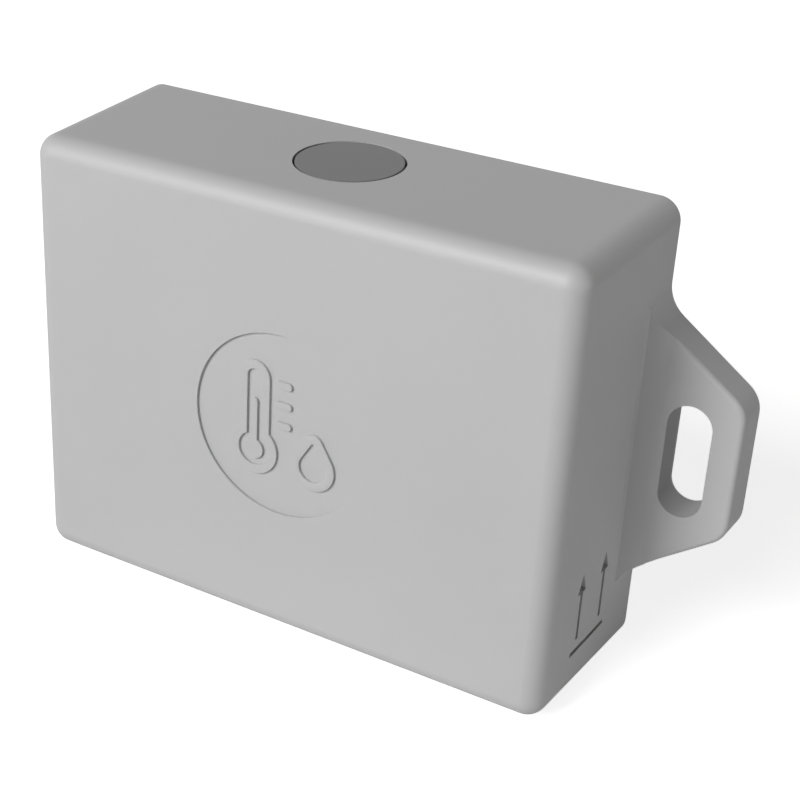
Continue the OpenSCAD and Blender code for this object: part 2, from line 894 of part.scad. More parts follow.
module radio_shield() {
    shield_w = 0.71 * module_w;
    shield_h = 0.84 * module_h;
    shield_t = 1.7;
    skin = 0.2;
    color(steel)
        on_board(shield_x, upper_z)
            translate([0, 0, module_t])
                difference() {
                    linear_extrude(shield_t)
                        polygon(rounded_box(shield_w, shield_h, 0.6, 4));
                    translate([0, 0, -past])
                        linear_extrude(shield_t - skin + past)
                            polygon(rounded_box(shield_w - 2 * skin, shield_h - 2 * skin, 0.4, 4));
                    for (i = [-1:1])
                        for (j = [-1:1])
                            translate([i * shield_w / 4, j * shield_h / 3.5, 0])
                                cylinder(d = shield_h / 9, h = shield_t + past, $fn = 24);
                }
}

module radio_chip() {
    color(chip_black)
        on_board(shield_x, upper_z)
            translate([0, 0, module_t])
                chip(5 * grid_x, 5 * grid_z, 0.8);
}

module chip_antenna() {
    antenna_w = 1.6 * grid_x;
    antenna_h = 6.4 * grid_z;
    color("#e7e2d6")
        on_board(module_x - module_w / 2 + 1.5 * grid_x, upper_z)
            translate([0, 0, module_t]) {
                translate([-antenna_w / 2, -antenna_h / 2, 0])
                    cube([antenna_w, antenna_h, 1.2]);
                for (s = [-1, 1])
                    translate([-antenna_w / 2 - fit, s * antenna_h / 2 - 0.3, 0])
                        cube([antenna_w + 2 * fit, 0.6, 1.25]);
            }
}

module microcontroller() {
    color(chip_black)
        on_board(controller_x, upper_z)
            chip(7 * grid_x, 7 * grid_z, 0.9);
}

module memory_chip() {
    chip_w = 3.9 * grid_x;
    color(chip_black)
        on_board(22 * grid_x, upper_z) {
            translate([0, 0, 0.1])
                chip(chip_w, 4.9 * grid_z, 1.5);
            leads(chip_w, 4, 1.27 * grid_z, 1.05 * grid_x, 0.9);
        }
}

module voltage_regulator() {
    chip_w = 1.6 * grid_x;
    color(chip_black)
        on_board(27.3 * grid_x, upper_z - 2.6 * grid_z) {
            translate([0, 0, 0.1])
                chip(chip_w, 2.9 * grid_z, 1.1);
            leads(chip_w, 3, 0.95 * grid_z, 0.6 * grid_x, 0.7);
        }
}

// Crystals beside the microcontroller: place, width, height and thickness
module timing_crystals() {
    color(steel)
        for (crystal = [[-3.2, 1.5, 3.2, 0.8], [0, 2, 2.5, 0.6]])
            on_board(controller_x - 5.2 * grid_x, upper_z + crystal[0] * grid_z)
                linear_extrude(crystal[3])
                    polygon(rounded_box(crystal[1] * grid_x, crystal[2] * grid_z, 0.3, 3));
}

// Small part with metal ends
module end_capped(w, h, t) {
    end_h = h * 0.22;
    skin = 0.03;
    translate([-w / 2 + skin, -h / 2 + skin, skin])
        cube([w - 2 * skin, h - 2 * skin, t - 2 * skin]);
    for (s = [0, 1])
        mirror([0, s, 0])
            translate([-w / 2, h / 2 - end_h, 0])
                cube([w, end_h, t]);
}

// Copies of a small part in a column that starts at x, z and goes down
module small_part_column(x, z, step) {
    for (i = [0:3])
        on_board(x, z - i * step)
            children();
}

module chip_capacitors() {
    color("#a98b63")
        for (x = [17.8, -9.1])
            small_part_column(x * grid_x, upper_z + 3.6 * grid_z, 2.4 * grid_z)
                end_capped(0.8 * grid_x, 1.6 * grid_z, 0.8);
}

module chip_resistors() {
    color("#2b2b2e") {
        small_part_column(-7.1 * grid_x, upper_z + 3.6 * grid_z, 2.4 * grid_z)
            end_capped(0.8 * grid_x, 1.6 * grid_z, 0.45);
        small_part_column(-margin_x, holder_top_z - 4, 2.4 * grid_x)
            end_capped(0.8 * grid_x, 1.6 * grid_x, 0.45);
    }
}

module storage_capacitors() {
    can_r = 0.385 * margin_w;
    groove = 0.1 * can_r;
    base_t = 0.8;
    color("#c4c6c8")
        for (s = [-1, 1])
            on_board(margin_x, holder_mid_z + s * 1.3 * can_r) {
                linear_extrude(base_t)
                    square(2.12 * can_r, center = true);
                translate([0, 0, base_t])
                    rotate_extrude()
                        polygon([
                            [0, -hair], [can_r, -hair], [can_r, 3 * groove], [can_r - groove, 4 * groove],
                            [can_r, 5 * groove], [can_r, 18 * groove], [can_r - groove, 19 * groove],
                            [0, 19 * groove]
                        ]);
            }
}

module programming_header() {
    pitch = 0.196 * margin_w;
    pin = pitch / 3;
    color(chip_black)
        on_board(-margin_x, holder_mid_z) {
            linear_extrude(1)
                square([2 * pitch, 3 * pitch], center = true);
            for (x = [-0.5, 0.5])
                for (y = [-1:1])
                    translate([x * pitch - pin / 2, y * pitch - pin / 2, 0.5])
                        cube([pin, pin, 3]);
        }
}

module climate_sensor() {
    sensor_side = 2.5;
    color(chip_black)
        on_board(0, board_z + 0.8 + sensor_side / 2)
            difference() {
                chip(sensor_side, sensor_side, 0.9);
                translate([0, 0, 0.5])
                    cylinder(d = 1, h = past, $fn = 24);
            }
}

// Membrane disc on the inside of the bottom wall, leaning with it
module vent_membrane() {
    color("#f2f2ee")
        translate([0, back_y, wall * square_on + fit])
            rotate([-draft, 0, 0])
                translate([0, (vent_y - back_y) * square_on, 0])
                    cylinder(d = membrane_dia, h = membrane_t);
}

module battery_holder() {
    side_rise = 2.6;
    end_rise = 6.6;
    scoop_w = 18;
    color("#303234")
        difference() {
            union() {
                translate([0, 0, holder_mid_z])
                    along_y(board_back_y, cell_y + side_rise)
                        square([holder_l, holder_h], center = true);
                both_sides()
                    translate([bay_l / 2, board_back_y, holder_z])
                        cube([end_wall, cell_y + end_rise - board_back_y, holder_h]);
                for (x = [-peg_x, peg_x])
                    translate([x, 0, holder_mid_z])
                        rod_y(peg_dia, board_front_y - pin_out, board_back_y + hair);
            }
            for (z = cell_zs)
                translate([-bay_l / 2, cell_y, z])
                    rotate([0, 90, 0])
                        cylinder(r = bay_r, h = bay_l);
            along_y(board_back_y - past, cell_y - bay_r / 2)
                contact_tab_holes();
            for (z = [holder_z - past, holder_top_z - bay_wall - bay_r / 2])
                translate([-scoop_w / 2, cell_y - 3, z])
                    cube([scoop_w, body_d, bay_wall + bay_r / 2 + past]);
        }
}

// Copies at the two cells, which lie head to tail: x = 0 is the bay's negative end
module at_cells() {
    for (i = [0, 1])
        mirror([i, 0, 0])
            translate([-bay_l / 2, cell_y, cell_zs[i]])
                rotate([0, 90, 0])
                    children();
}

cell_base = contact_t + spring_l;
can_r = cell_r - 0.17;
can_l = cell_l - cell_cap_h;

module battery_cells() {
    color(steel)
        at_cells()
            translate([0, 0, cell_base])
                rotate_extrude()
                    polygon([
                        [0, 0], [can_r - 1.2, 0], [can_r, 0.6],
                        [can_r, can_l - 2.2], [can_r - 0.5, can_l - 1.7], [can_r, can_l - 1.2],
                        [can_r, can_l - 0.4], [can_r - 0.5, can_l],
                        [2.9, can_l], [2.7, can_l + cell_cap_h - 0.3], [2.4, can_l + cell_cap_h],
                        [0, can_l + cell_cap_h]
                    ]);
}

module cell_sleeves() {
    color("#5f6f86")
        at_cells()
            translate([0, 0, cell_base + 0.7])
                difference() {
                    cylinder(r = cell_r, h = can_l - 1.2);
                    translate([0, 0, -past])
                        cylinder(r = can_r + 0.02, h = can_l + 2 * past);
                }
}

// Round plate against the end wall of a bay
module contact_plate() {
    cylinder(r = bay_r - 0.55, h = contact_t);
}

// Tab from the plate through the holder's floor and the main board
module contact_tab() {
    tab_end_y = board_front_y - pin_out;
    translate([-tab_w / 2, tab_end_y - cell_y, 0])
        cube([tab_w, cell_y - tab_end_y, contact_t]);
}

module positive_contacts() {
    color("#c9b46a")
        at_cells()
            translate([0, 0, bay_l - contact_t]) {
                contact_plate();
                contact_tab();
                translate([0, 0, -contact_boss_h])
                    cylinder(r = 2.2, h = contact_boss_h + hair);
            }
}

// Tube swept along a conical helix: rings of points, then triangles between them
spring_sides = 8;
spring_steps = 16;
spring_base_r = 4.2;
spring_tip_r = 2.6;
spring_rings = spring_turns * spring_steps;
function spring_r(i) = spring_base_r + (spring_tip_r - spring_base_r) * i / spring_rings;
function spring_rise(i) = contact_t + spring_wire * 0.3
    + (spring_l - spring_wire * 0.8 - fit) * i / spring_rings;
function spring_point(i, j) = let (
        turn = 360 * i / spring_steps,
        side = 360 * j / spring_sides,
        r = spring_r(i) + spring_wire / 2 * cos(side)
    ) [r * cos(turn), r * sin(turn), spring_rise(i) + spring_wire / 2 * sin(side)];

module contact_spring() {
    points = [for (i = [0:spring_rings]) for (j = [0:spring_sides - 1]) spring_point(i, j)];
    skin = [
        for (i = [0:spring_rings - 1])
            for (j = [0:spring_sides - 1])
                let (a = i * spring_sides + j, b = i * spring_sides + (j + 1) % spring_sides)
                    each [[a, b, a + spring_sides], [b, b + spring_sides, a + spring_sides]]
    ];
    last = spring_rings * spring_sides;
    ends = [
        for (j = [1:spring_sides - 2])
            each [[0, j + 1, j], [last, last + j, last + j + 1]]
    ];
    polyhedron(points, concat(skin, ends));
}

module negative_contacts() {
    color("#c9b46a")
        at_cells() {
            contact_plate();
            contact_tab();
            contact_spring();
        }
}

housing();
rear_cover();
cover_gasket();
cover_screws();
button_cap();
button_seal();
seal_retainer();
retainer_screws();
switch_board();
tactile_switch();
switch_plunger();
board_header();
circuit_board();
board_screws();
radio_module();
radio_shield();
radio_chip();
chip_antenna();
microcontroller();
memory_chip();
voltage_regulator();
timing_crystals();
chip_capacitors();
chip_resistors();
storage_capacitors();
programming_header();
climate_sensor();
vent_membrane();
battery_holder();
battery_cells();
cell_sleeves();
positive_contacts();
negative_contacts();
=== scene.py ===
import math

import bmesh
import bpy
from bpy.props import FloatProperty, FloatVectorProperty, PointerProperty
from mathutils import Matrix, Quaternion, Vector


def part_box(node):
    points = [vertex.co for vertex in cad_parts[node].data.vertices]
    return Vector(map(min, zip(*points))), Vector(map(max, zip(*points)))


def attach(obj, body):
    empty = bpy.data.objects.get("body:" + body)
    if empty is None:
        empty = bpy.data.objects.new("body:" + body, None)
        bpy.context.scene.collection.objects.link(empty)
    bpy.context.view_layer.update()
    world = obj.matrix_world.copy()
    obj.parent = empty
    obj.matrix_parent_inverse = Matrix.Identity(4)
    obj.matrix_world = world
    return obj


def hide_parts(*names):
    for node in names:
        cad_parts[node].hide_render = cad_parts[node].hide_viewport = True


bl_info = {
    "name": "Environmental sensor",
    "version": (1, 0, 0),
    "blender": (4, 5, 0),
    "location": "3D View > Sidebar > Sensor",
    "description": "Dresses the wall-mounted environmental sensor and sets its stage",
    "category": "Object",
}

MM = 0.001
# how close to a plane a point counts as lying on it, in millimetres
NEAR = 0.01
# edges whose faces meet at more than this are sharp, in degrees
SHARP = 55
# height below the top face that holds the rims of the button and of its bore, in millimetres
RIM_HEIGHT = 0.9
# nearly all values of a noise texture lie between these two
NOISE_LOW, NOISE_HIGH = 0.3, 0.7
# sockets of a Mix node: its factor, two numbers and two colours, and the colour that comes out
FACTOR, NUMBER_A, NUMBER_B, COLOUR_A, COLOUR_B = 0, 2, 3, 6, 7
MIXED = 2

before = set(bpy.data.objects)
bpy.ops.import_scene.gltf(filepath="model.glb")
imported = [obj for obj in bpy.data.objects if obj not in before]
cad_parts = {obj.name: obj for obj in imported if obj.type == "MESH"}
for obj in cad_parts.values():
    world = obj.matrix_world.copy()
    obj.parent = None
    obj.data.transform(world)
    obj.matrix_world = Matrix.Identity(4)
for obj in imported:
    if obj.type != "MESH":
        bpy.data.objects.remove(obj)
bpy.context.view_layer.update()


# Materials

def linear(hex_colour):
    """sRGB hex colour as linear RGBA"""
    value = hex_colour.lstrip("#")
    channels = [int(value[i:i + 2], 16) / 255 for i in (0, 2, 4)]
    return [c / 12.92 if c <= 0.04045 else ((c + 0.055) / 1.055) ** 2.4 for c in channels] + [1.0]


def node(tree, kind, settings=None, inputs=None, feeds=None):
    """Adds a node with its settings; an input is an output socket to link, or a value.
    Its first output goes into the socket it feeds"""
    made = tree.nodes.new(kind)
    for name, value in (settings or {}).items():
        setattr(made, name, value)
    for key, value in (inputs or {}).items():
        if isinstance(value, bpy.types.NodeSocket):
            tree.links.new(value, made.inputs[key])
        else:
            made.inputs[key].default_value = value
    if feeds:
        tree.links.new(made.outputs[0], feeds)
    return made.outputs


def surface(name, **sockets):
    """New material: its tree, its shader and object coordinates in metres"""
    material = bpy.data.materials.new(name)
    material.use_nodes = True
    tree = material.node_tree
    shader = tree.nodes["Principled BSDF"]
    for key, value in sockets.items():
        shader.inputs[key.replace("_", " ")].default_value = value
    return material, tree, shader, node(tree, "ShaderNodeTexCoord")["Object"]


def drifting_colour(tree, shader, place, colour, width, swing):
    """Base colour that drifts a little in brightness, over a width in millimetres"""
    drift = node(tree, "ShaderNodeTexNoise", None,
                 {"Vector": place, "Scale": 1 / (width * MM), "Detail": 3.0})
    tone = node(tree, "ShaderNodeMapRange", None, {
        "Value": drift["Fac"], "From Min": NOISE_LOW, "From Max": NOISE_HIGH,
        "To Min": 1 - swing, "To Max": 1 + swing})
    node(tree, "ShaderNodeHueSaturation", None, {"Value": tone["Result"], "Color": colour},
         feeds=shader.inputs["Base Color"])


def moulded(name, colour, roughness=0.5, grain=0.3, strength=0.3):
    """Moulded plastic, epoxy or ceramic; the grain's width is in millimetres"""
    material, tree, shader, place = surface(name, Roughness=roughness, IOR=1.53)
    # a spark-eroded mould leaves a grain about 0.05 mm wide that breaks up the gloss;
    # it is drawn coarser so that it shows
    spark = node(tree, "ShaderNodeTexNoise", None,
                 {"Vector": place, "Scale": 1 / (grain * MM), "Detail": 2.0})
    node(tree, "ShaderNodeBump", None,
         {"Height": spark["Fac"], "Strength": strength, "Distance": 0.02 * MM},
         feeds=shader.inputs["Normal"])
    # the tone drifts away from the gate
    drifting_colour(tree, shader, place, colour, width=22.2, swing=0.012)
    return material


def moulded_silicone(name, colour):
    """Moulded silicone: matte, a little dusty, with a soft sheen"""
    material, tree, shader, place = surface(name, Roughness=0.72, IOR=1.41, Sheen_Weight=0.15)
    # dust shows as soft specks, in millimetres apart
    specks = 1.11
    dust = node(tree, "ShaderNodeTexNoise", None,
                {"Vector": place, "Scale": 1 / (specks * MM), "Detail": 4.0})
    node(tree, "ShaderNodeBump", None,
         {"Height": dust["Fac"], "Strength": 0.25, "Distance": 0.02 * MM},
         feeds=shader.inputs["Normal"])
    drifting_colour(tree, shader, place, colour, width=specks, swing=0.1)
    return material


def marked_metal(name, colour, roughness, squeeze):
    """Bright metal with the fine marks that rolling, drawing and turning leave, which are
    squeezed so many times along each axis"""
    material, tree, shader, place = surface(name, Metallic=1.0)
    shader.inputs["Base Color"].default_value = colour
    along = node(tree, "ShaderNodeMapping", None, {"Vector": place, "Scale": squeeze})
    # real marks are about 0.02 mm apart, and are drawn ten times coarser so that they show
    marks = node(tree, "ShaderNodeTexNoise", None,
                 {"Vector": along["Vector"], "Scale": 1 / (0.2 * MM), "Detail": 3.0})
    node(tree, "ShaderNodeMapRange", None, {
        "Value": marks["Fac"], "From Min": NOISE_LOW, "From Max": NOISE_HIGH,
        "To Min": 0.8 * roughness, "To Max": 1.3 * roughness},
         feeds=shader.inputs["Roughness"])
    node(tree, "ShaderNodeBump", None,
         {"Height": marks["Fac"], "Strength": 0.2, "Distance": 0.01 * MM},
         feeds=shader.inputs["Normal"])
    return material


def solder_masked_laminate(name, mask, copper, faces):
    """Glass epoxy under solder mask, on a board whose faces look along the axis given"""
    material, tree, shader, place = surface(
        name, Roughness=0.32, Coat_Weight=0.4, Coat_Roughness=0.2)
    axis = node(tree, "ShaderNodeSeparateXYZ", None, {"Vector": place})
    # copper tracks lift the mask and show through lighter; they are 0.3 mm wide on a 1.27 mm
    # grid, in cells about 6.7 mm wide, and change direction near the middle of each cell
    cells = node(tree, "ShaderNodeTexVoronoi", {"distance": "CHEBYCHEV"},
                 {"Vector": place, "Scale": 1 / (6.67 * MM)})
    turned = node(tree, "ShaderNodeMath", {"operation": "GREATER_THAN"},
                  {0: cells["Distance"], 1: 0.42})
    across = node(tree, "ShaderNodeMix", None, {
        FACTOR: turned["Value"], NUMBER_A: axis["X"], NUMBER_B: axis["Z" if faces == "Y" else "Y"]})
    wave = node(tree, "ShaderNodeMath", {"operation": "PINGPONG"},
                {0: across["Result"], 1: 1.27 * MM / 2})
    track = node(tree, "ShaderNodeMapRange", None, {
        "Value": wave["Value"], "From Min": 0.13 * MM, "From Max": 0.17 * MM,
        "To Min": 1.0, "To Max": 0.0})
    masked = node(tree, "ShaderNodeMix", {"data_type": "RGBA"},
                  {FACTOR: track["Result"], COLOUR_A: mask, COLOUR_B: copper})
    # the sawn edge is bare and yellowish
    normal = node(tree, "ShaderNodeNewGeometry")["True Normal"]
    turn = node(tree, "ShaderNodeSeparateXYZ", None, {"Vector": normal})
    facing = node(tree, "ShaderNodeMath", {"operation": "ABSOLUTE"}, {0: turn[faces]})
    board_face = node(tree, "ShaderNodeMath", {"operation": "GREATER_THAN"},
                      {0: facing["Value"], 1: 0.7})
    whole = node(tree, "ShaderNodeMix", {"data_type": "RGBA"}, {
        FACTOR: board_face["Value"], COLOUR_A: linear("#B7A55A"), COLOUR_B: masked[MIXED]})
    tree.links.new(whole[MIXED], shader.inputs["Base Color"])
    node(tree, "ShaderNodeBump", None,
         {"Height": track["Result"], "Strength": 0.5, "Distance": 0.03 * MM},
         feeds=shader.inputs["Normal"])
    return material


def paint(material, *names):
    """Gives CAD nodes their material"""
    for name in names:
        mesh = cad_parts[name].data
        mesh.materials.clear()
        mesh.materials.append(material)


# Meshes

def copy_of(name):
    """bmesh copy of a CAD node, merged, with its flat faces joined again"""
    bm = bmesh.new()
    bm.from_mesh(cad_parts[name].data)
    bmesh.ops.remove_doubles(bm, verts=bm.verts, dist=0.002 * MM)
    bmesh.ops.dissolve_limit(bm, angle_limit=math.radians(0.3), verts=bm.verts, edges=bm.edges)
    return bm


def new_verts(result):
    """The vertices in an operator's result"""
    return [g for g in result if isinstance(g, bmesh.types.BMVert)]


def sharp_edges(bm, inside, least=SHARP):
    """Sharp edges whose ends pass a test in millimetres"""
    return [e for e in bm.edges
            if len(e.link_faces) == 2 and e.calc_face_angle(0) > math.radians(least)
            and all(inside(v.co / MM) for v in e.verts)]


def soften(bm, edges, radius):
    """Rounds edges as a mould does"""
    bmesh.ops.bevel(bm, geom=edges, offset=radius, offset_type="OFFSET", segments=2, profile=0.5,
                    affect="EDGES", material=-1, clamp_overlap=True)


def narrow(bm, axis_y, radii, step):
    """Moves what lies between two radii of the button's upright axis inwards, in millimetres"""
    for vert in bm.verts:
        out = Vector((vert.co.x, vert.co.y - axis_y * MM, 0))
        if radii[0] < out.length / MM < radii[1]:
            vert.co -= out.normalized() * step * MM


def finish(bm, name, material, body):
    """Makes the object, shades it and puts it on its body"""
    mesh = bpy.data.meshes.new(name)
    bm.to_mesh(mesh)
    bm.free()
    if "custom_normal" in mesh.attributes:
        mesh.attributes.remove(mesh.attributes["custom_normal"])
    mesh.shade_smooth()
    # above the steps of its rounded forms, and below its corners
    mesh.set_sharp_from_angle(angle=math.radians(35))
    mesh.materials.append(material)
    piece = bpy.data.objects.new(name, mesh)
    bpy.context.scene.collection.objects.link(piece)
    # large faces keep flat shading up to their rounded edges
    shading = piece.modifiers.new("Even shading", "WEIGHTED_NORMAL")
    shading.keep_sharp = True
    shading.weight = 100
    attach(piece, body)
    return piece


def combine(bm, tool, operation):
    """Boolean of two bmeshes, left in the first"""
    pair = []
    for part in (bm, tool):
        mesh = bpy.data.meshes.new("part")
        part.to_mesh(mesh)
        pair.append(bpy.data.objects.new("part", mesh))
        bpy.context.scene.collection.objects.link(pair[-1])
    cut = pair[0].modifiers.new("cut", "BOOLEAN")
    cut.operation = operation
    cut.solver = "EXACT"
    cut.object = pair[1]
    result = pair[0].evaluated_get(bpy.context.evaluated_depsgraph_get())
    bm.clear()
    bm.from_mesh(result.data)
    tool.free()
    for obj in pair:
        mesh = obj.data
        bpy.data.objects.remove(obj)
        bpy.data.meshes.remove(mesh)


def vertex(bm, x, z):
    """Vertex in the drawing plane, from millimetres"""
    return bm.verts.new(Vector((x, 0, z)) * MM)


def join(bm, chain):
    """Joins vertices by edges, in order"""
    for pair in zip(chain, chain[1:]):
        bm.edges.new(pair)


def arc(bm, start, centre, degrees, steps):
    """Chain of edges swept from a point in millimetres, round an axis along Y;
    gives its first and last vertex"""
    first = vertex(bm, *start)
    swept = bmesh.ops.spin(bm, geom=[first], cent=Vector((centre[0], 0, centre[1])) * MM,
                           axis=(0, 1, 0), angle=math.radians(degrees), steps=steps)
    return first, new_verts(swept["geom_last"])[0]


def closed_outline(bm, *arcs):
    """Joins arcs end to end into one loop and gives its edges; each is given as its start,
    centre, degrees and steps"""
    known = set(bm.edges)
    ends = [arc(bm, *a) for a in arcs]
    for i, (_, last) in enumerate(ends):
        bm.edges.new((last, ends[(i + 1) % len(ends)][0]))
    return [e for e in bm.edges if e not in known]


def prism(bm, depth):
    """Fills a bmesh's closed outline and makes it a prism that reaches half its depth either
    way along Y, in millimetres"""
    bmesh.ops.contextual_create(bm, geom=bm.edges)
    bmesh.ops.translate(bm, verts=bm.verts, vec=(0, -depth * MM / 2, 0))
    far = bmesh.ops.extrude_face_region(bm, geom=bm.faces[:], use_keep_orig=True)["geom"]
    bmesh.ops.translate(bm, verts=new_verts(far), vec=(0, depth * MM, 0))
    bmesh.ops.recalc_face_normals(bm, faces=bm.faces)


def thermometer_outline(bm, at, bulb, half_stem, stem_top):
    """Bulb with a round-topped stem"""
    x, z = at
    spread = math.asin(half_stem / bulb)
    return closed_outline(
        bm,
        ((x + half_stem, z + bulb * math.cos(spread)), at, 360 - 2 * math.degrees(spread), 28),
        ((x - half_stem, stem_top), (x, stem_top), 180, 12),
    )


def drop_outline(bm, at, radius, tip_radius, half_angle=32):
    """Water drop: a large and a small circle with their common tangents"""
    x, z = at
    c, s = math.cos(math.radians(half_angle)), math.sin(math.radians(half_angle))
    tip_z = z + (radius - tip_radius) / s
    return closed_outline(
        bm,
        ((x + radius * c, z + radius * s), at, 180 + 2 * half_angle, 28),
        ((x - tip_radius * c, tip_z + tip_radius * s), (x, tip_z), 180 - 2 * half_angle, 6),
    )


def bar_outline(bm, at, length, thickness):
    """Round-ended bar along X"""
    x, z = at
    r, half = thickness / 2, (length - thickness) / 2
    return closed_outline(bm, ((x + half, z + r), (x + half, z), 180, 10),
                          ((x - half, z - r), (x - half, z), 180, 10))


def raise_relief(bm, loops, root_y, front_y, softness):
    """Fills one loop, or the ring between two, and raises it from one depth to another"""
    if len(loops) == 2:
        faces = bmesh.ops.bridge_loops(bm, edges=loops[0] + loops[1])["faces"]
    else:
        faces = bmesh.ops.contextual_create(bm, geom=loops[0])["faces"]
    verts = list({v for f in faces for v in f.verts})
    bmesh.ops.translate(bm, verts=verts, vec=(0, root_y, 0))
    raised = bmesh.ops.extrude_face_region(bm, geom=faces, use_keep_orig=True)["geom"]
    tops = new_verts(raised)
    bmesh.ops.translate(bm, verts=tops, vec=(0, front_y - root_y, 0))
    top_set = set(tops)
    rim = [e for e in bm.edges
           if top_set.issuperset(e.verts) and e.calc_face_angle(0) > math.radians(SHARP)]
    soften(bm, rim, softness)


# Settings

def length(name, description, size):
    """Length that is given in millimetres"""
    return FloatProperty(name=name, description=description, default=size * MM, min=0,
                         unit="LENGTH", subtype="DISTANCE", precision=5)


def angle(name, description, degrees):
    """Angle that is given in degrees"""
    return FloatProperty(name=name, description=description, default=math.radians(degrees),
                         unit="ROTATION", subtype="ANGLE")


def tint(name, description, hex_colour):
    """Colour that is given as sRGB hex"""
    return FloatVectorProperty(name=name, description=description, default=linear(hex_colour),
                               size=4, min=0, max=1, subtype="COLOR")


class HousingSettings(bpy.types.PropertyGroup):
    """Moulded housing, its pictogram and its upright mark"""
    colour: tint("Colour", "Colour of the plastic", "#BEBEBE")
    roughness: FloatProperty(name="Roughness", description="Roughness of the moulded surface",
                             default=0.5, min=0, max=1)
    grain: length("Grain", "Width of the surface grain", 0.3)
    edge: length("Edge", "Radius of the small edges", 0.18)
    wall_x: length("Side wall", "From the middle to a side wall at the back plane", 41)
    draft: angle("Draft", "Lean of the side walls", 2.4)
    relief: length("Relief", "How far the pictogram stands out of its round field", 0.4)
    stroke: length("Stroke", "Line width of the pictogram", 1.25)
    bulb: length("Bulb", "Radius of the thermometer's bulb", 3.6)
    drop: length("Drop", "Radius of the water drop", 3.3)
    mark_depth: length("Mark depth", "Depth of the upright mark", 1.1)
    mark_line: length("Mark line", "Line width of the upright mark", 0.68)
    mark_width: length("Mark width", "Length of the bar under the arrows", 9.9)
    mark_height: length("Mark height", "From the bar up to the arrows' tips", 11.85)
    mark_z: length("Mark level", "Height of the bar over the floor", 7.55)
    mark_in: length("Mark place", "From the back plane to the middle of the mark", 13.8)
    arrow_pitch: length("Arrow pitch", "Distance between the two arrows", 6.7)


class EarSettings(bpy.types.PropertyGroup):
    """Ears, where their fronts run up to the side walls"""
    thickness: length("Thickness", "Thickness of an ear", 5.3)
    root_height: length("Root height", "Height of an ear where it leaves the wall", 38)
    root_radius: length("Root radius",
                        "Radius of the hollow where its sloping edge runs into the wall", 5)
    edge_angle: angle("Edge angle", "Fall of the sloping edges", 35.54)
    rise: length("Rise", "How far the slope on its front climbs the wall", 1.6)
    slope: angle("Slope", "Angle between the ear's front and the slope", 28)
    blend: length("Blend", "Radius of the hollow at the foot of the slope", 2)


class TrimSettings(bpy.types.PropertyGroup):
    """Button, rear cover and screws"""
    bore_draw: length("Bore drawn in", "How far the bore's wall lies inside the solid's", 0.26)
    button_draw: length("Button drawn in", "How far the button's side lies inside the solid's",
                        0.36)
    button_colour: tint("Button", "Colour of the button", "#777777")
    cover_colour: tint("Cover", "Colour of the rear cover", "#B8B8B8")
    steel_colour: tint("Steel", "Colour of the screws", "#C9CBCD")
    edge: length("Edge", "Radius of the small edges", 0.15)


class InsideSettings(bpy.types.PropertyGroup):
    """Boards, their parts and the cells"""
    board_colour: tint("Board", "Colour of the solder mask", "#2F5D3A")
    module_colour: tint("Module", "Colour of the radio module's solder mask", "#234A7A")
    holder_colour: tint("Holder", "Colour of the battery holder", "#303234")
    sleeve_colour: tint("Sleeve", "Colour of the cells' sleeves", "#5F6F86")


class StageSettings(bpy.types.PropertyGroup):
    """Camera and light"""
    azimuth: angle("Azimuth", "Camera's turn from the front towards +X", 28.56)
    elevation: angle("Elevation", "How far the camera looks down", 25.95)
    roll: angle("Roll", "Camera's turn about its own axis", 3.13)
    lens: FloatProperty(name="Lens", description="Focal length on a 36 mm sensor, in millimetres",
                        default=73.6, min=1)
    ambient: FloatProperty(name="Ambient", description="Strength of the light from all round",
                           default=0.043, min=0)
    key: FloatProperty(name="Key", description="Strength of the main light in watts",
                       default=27.1, min=0)
    fill: FloatProperty(name="Fill", description="Strength of the light from the right in watts",
                        default=3.08, min=0)


# Pieces

